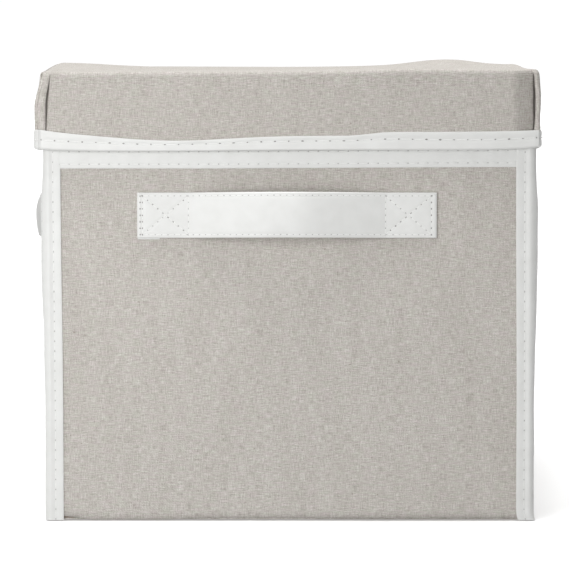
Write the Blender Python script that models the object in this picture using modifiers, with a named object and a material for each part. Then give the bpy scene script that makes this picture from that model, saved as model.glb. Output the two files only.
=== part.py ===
"""A rectangular fabric storage bin with board-stiffened walls, a lift-off lid and three strap handles.

Metres, +Z up. The origin is the centre of the underside. The front, with one of the handles, faces -Y.
Every wall is a stack of layers: bound edge tape, outer panel, board and lining, with a small gap between
neighbours. The lid is the same kind of stack and its skirt laps over the top of the walls.
"""

import math

import bmesh
import bpy
from mathutils import Matrix

# The bin, over its bound edges.
BODY_WIDTH = 0.2784
BODY_DEPTH = 0.3764
BODY_HEIGHT = 0.2500
CORNER_RADIUS = 0.0023  # of the tape's middle surface

# The layers.
GAP = 0.0003
TAPE = 0.0007
PANEL = 0.0012
BOARD = 0.0020
LINING = 0.0008
TAPE_FACE = 0.0100  # how far a binding reaches over each face of an edge
TRIM_HEIGHT = 0.0120
TRIM_BOTTOM = 0.2013

# The base board, lying loose in the bin.
BASE_BOARD = 0.0025
BASE_COVER = 0.0006
BASE_CLEARANCE = 0.0008  # to the inside of the mouth binding

# The lid.
LID_PLAY = 0.0004  # between the bin's edges and the inside of the skirt's binding
SKIRT_BOTTOM = 0.2105
SKIRT_TAPE = 0.0005
SKIRT_BOARD = 0.0006
LID_COVER = 0.0008
LID_BOARD = 0.0025
SKIRT_LINING = 0.0003
LID_LINING = 0.0006
FOLD_ROOM = 0.0080  # the lid's boards stop this far short of the fold between top and skirt
HEM_ROOM = 0.0045  # a flap's board stops this far above the lower edge of its cloth
FLAP_END_ROOM = 0.0115  # and this far short of its two ends, where the cloth is free to turn in
FLAP_SLIT = 0.0050  # between the lid's corner and the end of a front or back flap
SIDE_FLAP_SETBACK = 0.0010

# The strap handles.
STRAP_WIDTH = 0.0260
STRAP_THICKNESS = 0.0018
STRAP_LENGTH = 0.1700
PATCH_LENGTH = 0.0275
GRIP_LENGTH = 0.0560
BOW_POWER = 1.25  # the shape of the bow: 1 is a half sine wave, more leaves the wall more gently
BOW_STEP = 0.0030
# Side: (bow away from the wall, height of the strap's middle, shift along the wall).
HANDLES = {
    "front": (0.0120, 0.1748, -0.0017),
    "left": (0.0170, 0.1660, 0.0),
    "right": (0.0120, 0.1660, 0.0),
}

# The outward direction of each side.
SIDES = {"front": (0, -1), "back": (0, 1), "left": (-1, 0), "right": (1, 0)}

# Material: (colour, roughness).
MATERIALS = {
    "linen": ((0.500, 0.470, 0.435), 0.90),
    "white_faux_leather": ((0.800, 0.800, 0.780), 0.50),
    "fibreboard": ((0.300, 0.270, 0.230), 0.95),
    "lining_fabric": ((0.580, 0.560, 0.520), 0.90),
}


def layers(outermost, thicknesses):
    """(inner, outer) distances from the centre for each layer, going inwards from the outermost face."""
    faces = []
    for thickness in thicknesses:
        faces.append((outermost - thickness, outermost))
        outermost -= thickness + GAP
    return faces


def clear_scene():
    for thing in list(bpy.data.objects):
        bpy.data.objects.remove(thing, do_unlink=True)


def new_collection(name):
    collection = bpy.data.collections.new(name)
    bpy.context.scene.collection.children.link(collection)
    return collection


def make_materials():
    for name, (colour, roughness) in MATERIALS.items():
        material = bpy.data.materials.new(name)
        material.use_nodes = True
        shader = material.node_tree.nodes["Principled BSDF"]
        shader.inputs["Base Color"].default_value = (*colour, 1.0)
        shader.inputs["Roughness"].default_value = roughness
        shader.inputs["Metallic"].default_value = 0.0


def add_object(name, data, material, collection):
    thing = bpy.data.objects.new(name, data)
    data.materials.append(bpy.data.materials[material])
    collection.objects.link(thing)
    return thing


def box(name, x, y, z, material, collection):
    """A box between (low, high) along each axis."""
    bm = bmesh.new()
    bmesh.ops.create_cube(bm, size=1.0)
    spans = [sorted(span) for span in (x, y, z)]
    size = Matrix.Diagonal([high - low for low, high in spans] + [1.0])
    bm.transform(size)
    mesh = bpy.data.meshes.new(name)
    bm.to_mesh(mesh)
    bm.free()
    thing = add_object(name, mesh, material, collection)
    thing.location = [(low + high) / 2 for low, high in spans]
    return thing


def wall(name, side, along, out, z, material, collection):
    """A box that lies in the wall of one side: along the wall, out from the centre, and up."""
    across_x, across_y = SIDES[side]
    if across_x:
        x, y = [across_x * o for o in out], along
    else:
        x, y = along, [across_y * o for o in out]
    return box(name, x, y, z, material, collection)


def tray(name, half_x, half_y, z, thickness, top, material, collection):
    """A box with no bottom, given by its outside, with sides of one thickness and a top of another."""
    body = box(name, (-half_x, half_x), (-half_y, half_y), z, material, collection)
    inside_x, inside_y = half_x - thickness, half_y - thickness
    below = z[0] - thickness
    cut(body, box(name + "_cutter", (-inside_x, inside_x), (-inside_y, inside_y), (below, z[1] - top),
                  material, cutters))
    return body


def cut(body, cutter, operation="DIFFERENCE"):
    cutter.hide_render = True
    cutter.display_type = "WIRE"
    boolean = body.modifiers.new(cutter.name, "BOOLEAN")
    boolean.operation = operation
    boolean.solver = "EXACT"
    boolean.object = cutter


def plan_outline(name, points, z, material, collection):
    """A flat outline seen from above, given in X and Y, which reaches from z[0] to z[1]."""
    curve = bpy.data.curves.new(name, "CURVE")
    curve.dimensions = "2D"
    curve.fill_mode = "BOTH"
    curve.extrude = (z[1] - z[0]) / 2
    spline = curve.splines.new("POLY")
    spline.points.add(len(points) - 1)
    for point, (x, y) in zip(spline.points, points):
        point.co = (x, y, 0.0, 1.0)
    spline.use_cyclic_u = True
    thing = add_object(name, curve, material, collection)
    thing.location.z = (z[0] + z[1]) / 2
    return thing


def arc(centre_x, centre_y, radius, start, end, steps=6):
    """Points on an arc, with the angles in degrees."""
    angles = [math.radians(start + (end - start) * i / steps) for i in range(steps + 1)]
    return [(centre_x + radius * math.cos(a), centre_y + radius * math.sin(a)) for a in angles]


def rounded_rectangle(half_x, half_y, radius):
    points = []
    for quarter, (sign_x, sign_y) in enumerate([(1, 1), (-1, 1), (-1, -1), (1, -1)]):
        start = 90 * quarter
        points += arc(sign_x * (half_x - radius), sign_y * (half_y - radius), radius, start, start + 90)
    return points


def folded_ring(name, inner, outer, radii, fold, edge, thickness, material, collection):
    """Tape folded over an edge that runs right round the bin or lid.

    inner and outer are the half sizes (x, y) of the middle surface of the two legs, and radii their corner
    radii. fold is the height of the fold's middle surface, and edge the height of the legs' free edges.
    """
    bm = bmesh.new()
    rings = [(inner, radii[0], edge), (inner, radii[0], fold), (outer, radii[1], fold), (outer, radii[1], edge)]
    loops = [[bm.verts.new((x, y, height)) for x, y in rounded_rectangle(half_x, half_y, radius)]
             for (half_x, half_y), radius, height in rings]
    for one, other in zip(loops, loops[1:]):
        for i in range(len(one)):
            bm.faces.new((one[i - 1], one[i], other[i], other[i - 1]))
    bmesh.ops.recalc_face_normals(bm, faces=bm.faces[:])
    mesh = bpy.data.meshes.new(name)
    bm.to_mesh(mesh)
    bm.free()
    ring = add_object(name, mesh, material, collection)
    solidify = ring.modifiers.new("thickness", "SOLIDIFY")
    solidify.thickness = thickness
    solidify.offset = 0.0
    solidify.use_even_offset = True
    return ring


def hang_on(empty, *pieces):
    """Parents pieces to an empty that marks their joint, and leaves them where they are."""
    for piece in pieces:
        piece.parent = empty
        piece.matrix_parent_inverse = Matrix.Translation(-empty.location)


def joint_empty(name, location):
    empty = bpy.data.objects.new(name, None)
    empty.location = location
    bin_parts.objects.link(empty)
    return empty


def make_walls():
    """Outer panel, board and lining on each side, between the bottom and the fold of the mouth binding."""
    _, panel_x, board_x, lining_x, _ = body_x
    _, panel_y, board_y, lining_y, _ = body_y
    top = BODY_HEIGHT - TAPE - GAP
    stack = [
        # part, material, lowest point, layer across X, layer across Y
        ("panel", "linen", 0.0, panel_x, panel_y),
        ("board", "fibreboard", PANEL + GAP, board_x, board_y),
        ("lining", "lining_fabric", PANEL + GAP, lining_x, lining_y),
    ]
    for part, material, low, across_x, across_y in stack:
        # A front or back panel stops at the inner face of the side panels, so the corner stays round. The
        # hidden layers run the full width instead, and the side ones stand between them.
        front_half = across_x[0] if part == "panel" else across_x[1]
        side_half = across_y[0] if part == "panel" else across_y[0] - GAP
        for side in SIDES:
            half, out = (front_half, across_y) if side in ("front", "back") else (side_half, across_x)
            wall(f"{side}_{part}", side, (-half, half), out, (low, top), material, bin_parts)


def make_bottom():
    half_x, half_y = body_x[1][0] - GAP, body_y[1][0] - GAP
    box("bottom_panel", (-half_x, half_x), (-half_y, half_y), (0.0, PANEL), "linen", bin_parts)


def make_corner_bindings():
    """A strip of tape folded round each upright corner."""
    outer = CORNER_RADIUS + TAPE / 2
    inner = CORNER_RADIUS - TAPE / 2
    edge_x, edge_y = BODY_WIDTH / 2, BODY_DEPTH / 2
    centre_x, centre_y = edge_x - outer, edge_y - outer
    z = (GAP, BODY_HEIGHT - TAPE_FACE - GAP)
    quarter = (
        [(edge_x, edge_y - TAPE_FACE)]
        + arc(centre_x, centre_y, outer, 0, 90)
        + [(edge_x - TAPE_FACE, edge_y), (edge_x - TAPE_FACE, edge_y - TAPE)]
        + arc(centre_x, centre_y, inner, 90, 0)
        + [(edge_x - TAPE, edge_y - TAPE_FACE)]
    )
    for front_back, sign_y in (("front", -1), ("back", 1)):
        for left_right, sign_x in (("left", -1), ("right", 1)):
            points = [(sign_x * x, sign_y * y) for x, y in quarter]
            name = f"{front_back}_{left_right}_corner_binding"
            plan_outline(name, points, z, "white_faux_leather", bin_parts)


def make_mouth_binding():
    (in_x, out_x), (in_y, out_y) = [(faces[4], faces[0]) for faces in (body_x, body_y)]
    inner = (sum(in_x) / 2, sum(in_y) / 2)
    outer = (sum(out_x) / 2, sum(out_y) / 2)
    fold = BODY_HEIGHT - TAPE / 2
    folded_ring("mouth_binding", inner, outer, (CORNER_RADIUS / 4, CORNER_RADIUS), fold, BODY_HEIGHT - TAPE_FACE,
                TAPE, "white_faux_leather", bin_parts)


def make_trim_tapes():
    """Flat tape across each wall between the corner bindings, just under the lid's skirt."""
    z = (TRIM_BOTTOM, TRIM_BOTTOM + TRIM_HEIGHT)
    for side in SIDES:
        across, edge = (body_y[0], BODY_WIDTH) if side in ("front", "back") else (body_x[0], BODY_DEPTH)
        half = edge / 2 - TAPE_FACE - GAP
        wall(f"{side}_trim_tape", side, (-half, half), across, z, "white_faux_leather", bin_parts)


def make_base_board():
    half_x = body_x[4][0] - BASE_CLEARANCE
    half_y = body_y[4][0] - BASE_CLEARANCE
    low = PANEL + GAP
    inside = BASE_COVER + GAP
    board_x, board_y = half_x - inside, half_y - inside
    board = box("base_board", (-board_x, board_x), (-board_y, board_y), (low, low + BASE_BOARD), "fibreboard",
                bin_parts)
    cover = tray("base_board_cover", half_x, half_y, (low, low + BASE_BOARD + inside), BASE_COVER, BASE_COVER,
                 "lining_fabric", bin_parts)
    hang_on(joint_empty("base_board_lift", (0, 0, low)), board, cover)


def strap_seat(side):
    """How far the middle of a strap that is sewn flat lies from the bin's centre."""
    panel = body_x[1] if SIDES[side][0] else body_y[1]
    return panel[1] + GAP + STRAP_THICKNESS / 2


def bow_out(bow, along):
    """How far the strap stands off its seat at a distance along it from its middle."""
    return bow * math.cos(math.pi / 2 * along / free_half) ** BOW_POWER if abs(along) < free_half else 0.0


def strap_faces(side, bow, along):
    """Points on the outer and the inner face of the strap, each (along, out from the bin's centre)."""
    step = BOW_STEP / 10
    slope = (bow_out(bow, along + step) - bow_out(bow, along - step)) / (2 * step)
    reach = STRAP_THICKNESS / 2 / math.hypot(1.0, slope)
    middle = strap_seat(side) + bow_out(bow, along)
    return (along - reach * slope, middle + reach), (along + reach * slope, middle - reach)


def strap_piece(name, side, start, end):
    """The stretch of a strap from start to end, measured from its middle."""
    bow, height, shift = HANDLES[side]
    steps = round((end - start) / BOW_STEP)
    faces = [strap_faces(side, bow, start + (end - start) * i / steps) for i in range(steps + 1)]
    outline = [outer for outer, _ in faces] + [inner for _, inner in reversed(faces)]
    sign_x, sign_y = SIDES[side]
    if sign_x:
        points = [(sign_x * o, a + shift) for a, o in outline]
    else:
        points = [(a + shift, sign_y * o) for a, o in outline]
    z = (height - STRAP_WIDTH / 2, height + STRAP_WIDTH / 2)
    return plan_outline(name, points, z, "white_faux_leather", bin_parts)


def make_handles():
    """Each strap in five pieces: two sewn patches, two necks that bend, and the grip between them."""
    grip = GRIP_LENGTH / 2
    for side, (_, height, shift) in HANDLES.items():
        ends = ("front", "back") if SIDES[side][0] else ("left", "right")
        for end, sign in zip(ends, (-1, 1)):
            stretch = sorted((sign * STRAP_LENGTH / 2, sign * free_half))
            strap_piece(f"{side}_handle_{end}_patch", side, *stretch)
            stretch = sorted((sign * (free_half - GAP), sign * (grip + GAP)))
            strap_piece(f"{side}_handle_{end}_neck", side, *stretch)
        piece = strap_piece(f"{side}_handle_grip", side, -grip, grip)
        sign_x, sign_y = SIDES[side]
        seat = strap_seat(side)
        place = (sign_x * seat, shift, height) if sign_x else (shift, sign_y * seat, height)
        hang_on(joint_empty(f"{side}_handle_swing", place), piece)


def make_lid():
    _, cover_x, board_x, lining_x, _ = lid_x
    _, cover_y, board_y, lining_y, _ = lid_y
    ceiling = BODY_HEIGHT + GAP
    board_z = (ceiling + LID_LINING + GAP, ceiling + LID_LINING + GAP + LID_BOARD)
    cover_z = (board_z[1] + GAP, board_z[1] + GAP + LID_COVER)
    skirt_low = SKIRT_BOTTOM + SKIRT_TAPE + GAP
    skirt_z = (skirt_low + HEM_ROOM, board_z[0] - FOLD_ROOM)
    half_x, half_y = cover_x[1], cover_y[1]

    # The cover is one cross-shaped sheet: its four flaps are folded down, with slits at the corners.
    cover = box("lid_cover", (-half_x, half_x), (-half_y, half_y), cover_z, "linen", bin_parts)
    flap_half = {"front": half_x - FLAP_SLIT, "back": half_x - FLAP_SLIT,
                 "left": half_y - SIDE_FLAP_SETBACK, "right": half_y - SIDE_FLAP_SETBACK}
    pieces = [cover]
    for side, half in flap_half.items():
        out = cover_x if SIDES[side][0] else cover_y
        flap_z = (skirt_low, cover_z[0] + LID_COVER / 2)
        cut(cover, wall(f"{side}_flap_of_cover", side, (-half, half), out, flap_z, "linen", cutters), "UNION")
        board_half = half - FLAP_END_ROOM
        out = board_x if SIDES[side][0] else board_y
        pieces.append(wall(f"lid_{side}_flap_board", side, (-board_half, board_half), out, skirt_z, "fibreboard",
                           bin_parts))

    top_x, top_y = board_x[1] - FOLD_ROOM, board_y[1] - FOLD_ROOM
    pieces.append(box("lid_top_board", (-top_x, top_x), (-top_y, top_y), board_z, "fibreboard", bin_parts))
    pieces.append(tray("lid_lining", lining_x[1], lining_y[1], (skirt_low, ceiling + LID_LINING), SKIRT_LINING,
                       LID_LINING, "lining_fabric", bin_parts))

    (in_x, out_x), (in_y, out_y) = [(faces[4], faces[0]) for faces in (lid_x, lid_y)]
    inner = (sum(in_x) / 2, sum(in_y) / 2)
    outer = (sum(out_x) / 2, sum(out_y) / 2)
    clear_of_bin = CORNER_RADIUS + LID_PLAY + SKIRT_TAPE
    pieces.append(folded_ring("lid_binding", inner, outer, (clear_of_bin, CORNER_RADIUS),
                              SKIRT_BOTTOM + SKIRT_TAPE / 2, SKIRT_BOTTOM + TAPE_FACE, SKIRT_TAPE,
                              "white_faux_leather", bin_parts))
    hang_on(joint_empty("lid_lift", (0, 0, ceiling)), *pieces)


BODY_LAYERS = (TAPE, PANEL, BOARD, LINING, TAPE)
LID_LAYERS = (SKIRT_TAPE, LID_COVER, SKIRT_BOARD, SKIRT_LINING, SKIRT_TAPE)
body_x, body_y = [layers(size / 2, BODY_LAYERS) for size in (BODY_WIDTH, BODY_DEPTH)]
lid_wall = sum(LID_LAYERS) + GAP * (len(LID_LAYERS) - 1)
lid_x, lid_y = [layers(size / 2 + LID_PLAY + lid_wall, LID_LAYERS) for size in (BODY_WIDTH, BODY_DEPTH)]
free_half = STRAP_LENGTH / 2 - PATCH_LENGTH

clear_scene()
bin_parts = new_collection("fabric_storage_bin")
cutters = new_collection("cutters")
make_materials()
make_walls()
make_bottom()
make_corner_bindings()
make_mouth_binding()
make_trim_tapes()
make_base_board()
make_handles()
make_lid()
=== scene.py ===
"""The looks of the fabric storage bin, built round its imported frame.

Metres, +Z up, and the front of the bin faces -Y. Each skin, outside and inside, is a fine sheet that follows
the frame's boxes, with the slack, seams and stitches of a sewn bin. The boards inside stay as they are.
"""

import math

import bmesh
import bpy
import numpy as np
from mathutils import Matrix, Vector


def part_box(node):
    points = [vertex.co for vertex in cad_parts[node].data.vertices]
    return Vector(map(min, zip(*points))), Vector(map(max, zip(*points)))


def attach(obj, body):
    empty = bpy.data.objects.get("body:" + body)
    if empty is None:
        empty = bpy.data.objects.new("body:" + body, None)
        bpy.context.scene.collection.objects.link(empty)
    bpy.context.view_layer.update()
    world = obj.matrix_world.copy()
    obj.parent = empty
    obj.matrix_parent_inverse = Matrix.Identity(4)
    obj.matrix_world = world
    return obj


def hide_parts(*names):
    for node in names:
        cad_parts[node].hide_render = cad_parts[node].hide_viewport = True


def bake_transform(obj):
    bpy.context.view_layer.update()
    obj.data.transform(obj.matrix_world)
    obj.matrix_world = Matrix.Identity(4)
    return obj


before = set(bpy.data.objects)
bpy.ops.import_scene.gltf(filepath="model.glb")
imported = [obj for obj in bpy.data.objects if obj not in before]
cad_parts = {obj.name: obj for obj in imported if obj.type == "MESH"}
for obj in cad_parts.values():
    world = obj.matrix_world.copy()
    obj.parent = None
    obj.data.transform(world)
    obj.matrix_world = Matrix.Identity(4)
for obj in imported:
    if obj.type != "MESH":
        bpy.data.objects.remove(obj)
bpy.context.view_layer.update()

MM = 0.001
SIDES = {"front": (0, -1), "back": (0, 1), "left": (-1, 0), "right": (1, 0)}   # wall: its outward x and y


def reach(name):
    """The furthest that a node stands from the bin's centre in x and in y, and its lowest and highest z."""
    low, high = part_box(name)
    return high.x, high.y, low.z, high.z


def span(side, name):
    """Where a node starts and ends along its wall."""
    low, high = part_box(name)
    return (low.y, high.y) if SIDES[side][0] else (low.x, high.x)


PANEL_X = reach("right_panel")[0]
PANEL_Y = reach("back_panel")[1]
TAPE_X = reach("front_right_corner_binding")[0]
TAPE_Y = reach("back_right_corner_binding")[1]
LID_X, LID_Y, LID_LOW, LID_TOP = reach("lid_cover")
HEM_X, HEM_Y, HEM_LOW, _ = reach("lid_binding")
PANEL_THICKNESS = PANEL_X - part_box("right_panel")[0].x
TAPE_THICKNESS = 0.7 * MM
TAPE_WIDTH = 10.0 * MM
ON_FACE = 1e-6             # a point this close to a plane lies on it


# ---- small maths

def smooth(value, low, high):
    """0 below low, 1 above high, and a soft step between."""
    t = np.clip((value - low) / (high - low), 0.0, 1.0)
    return t * t * (3.0 - 2.0 * t)


def bell(value, centre, width):
    """1 at the centre, falling off to both sides."""
    return np.exp(-(((value - centre) / width) ** 2))


def fade(distance, length):
    """1 at no distance, falling off over a length."""
    return np.exp(-distance / length)


def hash_seed(name):
    return sum(name.encode())


def ripple(a, b, size, seed):
    """Soft, aimless waves about 1 high, whose length is about size."""
    random = np.random.default_rng(seed)
    total = 0.0
    for _ in range(7):
        angle, phase = random.uniform(0, 2 * math.pi, 2)
        pace = 2 * math.pi / size * random.uniform(0.5, 1.3)
        total = total + np.sin(pace * (a * math.cos(angle) + b * math.sin(angle)) + phase)
    return total / 2.6     # seven waves add up to about 2.6


def spaced(low, high, pitch):
    return np.linspace(low, high, max(2, round((high - low) / pitch) + 1))


def finer_at_ends(low, high, margin, fine, coarse, *also):
    """Places from low to high, close together within margin of both ends, with the extra places named."""
    ends = [spaced(low, low + margin, fine), spaced(low + margin, high - margin, coarse),
            spaced(high - margin, high, fine)]
    return np.unique(np.round(np.concatenate(ends + [np.array(also, float)]), 7))


def stacked(*parts):
    """Numbers or grids of them, joined along a new last axis: a place, or u, v and the shade painted on the
    cloth.
    """
    return np.stack(np.broadcast_arrays(*parts), -1)


# ---- meshes

def grid_faces(rows, columns, closed=False):
    """Quads over a grid of points, which closes on itself along its rows when asked."""
    index = np.arange(rows * columns).reshape(rows, columns)
    if closed:
        index = np.vstack([index, index[:1]])
    return np.stack((index[:-1, :-1], index[1:, :-1], index[1:, 1:], index[:-1, 1:]), -1).reshape(-1, 4)


def soften(piece):
    piece.data.shade_smooth()
    piece.data.set_sharp_from_angle(angle=math.radians(50))


def add_piece(name, points, faces, weave, materials, outward=None, thickness=0.0, material_index=None):
    """A mesh object. weave holds each point's place in the flat cloth, in metres, and how much painted shade
    darkens it there.

    Faces are turned to look outward, and the thickness goes on behind them.
    """
    points = np.asarray(points, float).reshape(-1, 3)
    if outward is not None:
        quads = np.array(faces)
        diagonals = (points[quads[:, 2]] - points[quads[:, 0]], points[quads[:, 3]] - points[quads[:, 1]])
        if (np.cross(*diagonals) * outward(points[quads].mean(1))).sum() < 0:
            faces = quads[:, ::-1]
    mesh = bpy.data.meshes.new(name)
    mesh.from_pydata(points.tolist(), [], [list(face) for face in faces])
    if weave is not None:
        store = mesh.attributes.new("weave", "FLOAT_VECTOR", "POINT")
        store.data.foreach_set("vector", np.asarray(weave, np.float32).reshape(-1))
    for material in materials:
        mesh.materials.append(material)
    if material_index is not None:
        mesh.polygons.foreach_set("material_index", np.asarray(material_index, np.int32))
    piece = bpy.data.objects.new(name, mesh)
    bpy.context.scene.collection.objects.link(piece)
    if thickness:
        solid = piece.modifiers.new("thickness", "SOLIDIFY")
        solid.thickness = thickness
        solid.offset = -1.0
        graph = bpy.context.evaluated_depsgraph_get()
        thick = bpy.data.meshes.new_from_object(piece.evaluated_get(graph), preserve_all_data_layers=True,
                                                depsgraph=graph)
        piece.modifiers.clear()
        piece.data = thick
    soften(piece)
    return piece


def facing(*direction):
    """An outward hint for a sheet that faces one way."""
    return lambda centres: np.tile(np.array(direction, float), (len(centres), 1))


def away_from(*place):
    """An outward hint for a sheet that wraps round a place."""
    return lambda centres: centres - np.array(place, float)


def grid_piece(name, points, weave, material, outward, thickness=0.0, closed=False):
    rows, columns = points.shape[:2]
    return add_piece(name, points, grid_faces(rows, columns, closed), weave, [material], outward, thickness)


def finish_piece(piece, body, slot, *nodes):
    """Puts a piece on its body and hides the CAD nodes that it stands for. The finish, slot, is not used."""
    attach(piece, body)
    if nodes:
        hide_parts(*nodes)
    return piece


def finish_leather(piece, body, *nodes):
    return finish_piece(piece, body, "white_faux_leather", *nodes)


def on_wall(side, along, out, z):
    """Points on a wall: along it, out from the bin's centre, and up."""
    sign_x, sign_y = SIDES[side]
    return stacked(sign_x * out, along, z) if sign_x else stacked(along, sign_y * out, z)


# ---- materials

def set_inputs(tree, owner, inputs):
    """Gives a node its inputs, each a number, a colour or the output of another node."""
    for socket, value in inputs.items():
        if isinstance(value, bpy.types.NodeSocket):
            tree.links.new(value, owner.inputs[socket])
        else:
            owner.inputs[socket].default_value = value


def node(tree, kind, inputs=None, output=0, **settings):
    made = tree.nodes.new("ShaderNode" + kind)
    for name, value in settings.items():
        setattr(made, name, value)
    set_inputs(tree, made, inputs or {})
    return made.outputs[output]


def maths(tree, operation, first, second=0.0):
    return node(tree, "Math", {0: first, 1: second}, operation=operation)


def weighted(tree, start, *terms):
    """start plus each (value, weight) pair's product."""
    for value, weight in terms:
        start = node(tree, "Math", {0: value, 1: weight, 2: start}, operation="MULTIPLY_ADD")
    return start


def mixed(tree, share, first, second, blend="MIX"):
    """A mix of two colours. A Mix node's colours are its inputs 6 and 7 and its output 2."""
    return node(tree, "Mix", {0: share, 6: first, 7: second}, output=2, data_type="RGBA", blend_type=blend)


def scaled(tree, place, factors):
    return node(tree, "VectorMath", {0: place, 1: factors}, operation="MULTIPLY")


def axes(tree, place, names):
    return [node(tree, "SeparateXYZ", {0: place}, output=name) for name in names]


def noise(tree, place, per_metre, detail=2.0, roughness=0.5):
    """Noise whose grains come per_metre[0] to the metre across the cloth and per_metre[1] up it."""
    return node(tree, "TexNoise", {"Vector": scaled(tree, place, per_metre), "Scale": 1.0, "Detail": detail,
                                   "Roughness": roughness})


def ramp(tree, value, *stops):
    """Colours by value, from (value, colour) pairs."""
    made = tree.nodes.new("ShaderNodeValToRGB")
    elements = made.color_ramp.elements
    while len(elements) < len(stops):
        elements.new(0.5)
    for element, (place, colour) in zip(elements, stops):
        element.position = place
        element.color = (*colour, 1.0)
    tree.links.new(value, made.inputs["Fac"])
    return made.outputs["Color"]


def new_material(name, build, **shader_values):
    """A material whose build function returns its colour, roughness, bump height and bump depth."""
    material = bpy.data.materials.new(name)
    material.use_nodes = True
    tree = material.node_tree
    colour, roughness, height, depth = build(tree)
    bump = node(tree, "Bump", {"Height": height, "Distance": depth, "Strength": 1.0})
    values = {socket.replace("_", " "): value for socket, value in shader_values.items()}
    set_inputs(tree, tree.nodes["Principled BSDF"],
               {"Base Color": colour, "Roughness": roughness, "Normal": bump, **values})
    return material


def cloth_place(tree):
    """The point's place in the flat cloth, and how much painted shade darkens it there."""
    place = node(tree, "Attribute", output="Vector", attribute_name="weave")
    return scaled(tree, place, (1.0, 1.0, 0.0)), *axes(tree, place, "Z")


def solid_place(tree):
    """The point's place in its piece."""
    return node(tree, "TexCoord", output="Object")


def threads(tree, place, pitch):
    """The over and under of a plain weave, from -1 to 1."""
    turned = scaled(tree, place, (2 * math.pi / pitch,) * 3)
    return maths(tree, "MULTIPLY", *[maths(tree, "SINE", part) for part in axes(tree, turned, "XY")])


BLACK, WHITE = (0, 0, 0), (1, 1, 1)
THREAD_PITCH = 0.9 * MM
DOT_PITCH = 2.4 * MM       # of the dots pressed into the lining


def linen_nodes(tree):
    place, painted_shade = cloth_place(tree)
    weft = noise(tree, place, (200, 2400, 0), detail=3.0, roughness=0.70)
    warp = noise(tree, place, (2400, 180, 0), detail=3.0, roughness=0.70)
    bands = noise(tree, place, (75, 14, 0))
    slubs = noise(tree, place, (1500, 1500, 0), detail=0.0)
    streaks = weighted(tree, 0.0, (weft, 0.61), (warp, 0.50))
    tone = weighted(tree, -0.167, (streaks, 1.0), (bands, 0.075), (slubs, 0.15))
    colour = ramp(tree, tone, (0.34, (0.345, 0.316, 0.284)), (0.50, (0.525, 0.496, 0.458)),
                  (0.66, (0.705, 0.683, 0.648)))
    tint = ramp(tree, noise(tree, place, (120, 900, 0), detail=1.0), (0.35, BLACK), (0.65, WHITE))
    pinkish, greenish = [mixed(tree, 1.0, colour, by, "MULTIPLY")
                         for by in ((1.0, 0.968, 0.995, 1), (0.972, 1.0, 0.970, 1))]
    colour = mixed(tree, tint, pinkish, greenish)
    fleck = ramp(tree, noise(tree, place, (330, 420, 0), detail=1.0), (0.735, BLACK), (0.80, WHITE))
    colour = mixed(tree, maths(tree, "MULTIPLY", fleck, 0.45), colour, (0.20, 0.155, 0.12, 1))
    # painted shade: the cloth turns deep brown where the weave's third value is high
    colour = mixed(tree, painted_shade, colour, (0.085, 0.072, 0.060, 1))
    height = weighted(tree, streaks, (threads(tree, place, THREAD_PITCH), 0.5))
    return colour, 0.92, height, 0.16 * MM


def leather_nodes(tree):
    place, painted_shade = cloth_place(tree)
    grain = noise(tree, place, (1500, 1500, 0), detail=3.0)
    soft = noise(tree, place, (110, 110, 0))
    colour = ramp(tree, soft, (0.3, (0.675, 0.678, 0.662)), (0.7, (0.713, 0.716, 0.702)))
    # painted shade: the tape turns grey where the weave's third value is high
    colour = mixed(tree, painted_shade, colour, (0.30, 0.295, 0.28, 1))
    height = weighted(tree, 0.0, (grain, 0.35), (soft, 1.4))
    return colour, weighted(tree, 0.40, (grain, 0.16)), height, 0.12 * MM


def lining_nodes(tree):
    place, painted_shade = cloth_place(tree)
    fibres = noise(tree, place, (520, 700, 0), detail=4.0, roughness=0.7)
    cloud = noise(tree, place, (60, 60, 0))
    tone = weighted(tree, 0.0, (fibres, 0.6), (cloud, 0.4))
    colour = ramp(tree, tone, (0.35, (0.560, 0.540, 0.500)), (0.65, (0.690, 0.672, 0.636)))
    pressed = ramp(tree, threads(tree, place, DOT_PITCH), (0.45, WHITE), (0.75, BLACK))
    colour = mixed(tree, maths(tree, "MULTIPLY", pressed, 0.10), (0.50, 0.48, 0.44, 1), colour)
    # painted shade: the lining turns dark where the weave's third value is high
    colour = mixed(tree, painted_shade, colour, (0.14, 0.125, 0.11, 1))
    return colour, 0.88, weighted(tree, pressed, (fibres, 0.7)), 0.12 * MM


def fibreboard_nodes(tree):
    place = solid_place(tree)
    fibres = noise(tree, place, (420, 420, 900), detail=5.0, roughness=0.7)
    blotch = noise(tree, place, (35, 35, 35))
    tone = weighted(tree, 0.0, (fibres, 0.7), (blotch, 0.3))
    colour = ramp(tree, tone, (0.3, (0.105, 0.072, 0.045)), (0.7, (0.215, 0.155, 0.105)))
    return colour, 0.85, fibres, 0.15 * MM


def plain_nodes(grains, darkest, lightest, roughness, depth):
    """Builds a plain finish that varies between two colours, grains to the metre."""
    def build(tree):
        fibres = noise(tree, solid_place(tree), (grains,) * 3)
        return ramp(tree, fibres, (0.3, darkest), (0.7, lightest)), roughness, fibres, depth
    return build


LINEN = new_material("linen", linen_nodes, Sheen_Weight=0.10, Sheen_Roughness=0.5, Specular_IOR_Level=0.25)
LEATHER = new_material("white_faux_leather", leather_nodes, Specular_IOR_Level=0.45)
THREAD = new_material("white_thread", Sheen_Weight=0.1, Specular_IOR_Level=0.5,
                      build=plain_nodes(2600, (0.70, 0.70, 0.685), (0.84, 0.84, 0.825), 0.62, 0.06 * MM))
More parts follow.
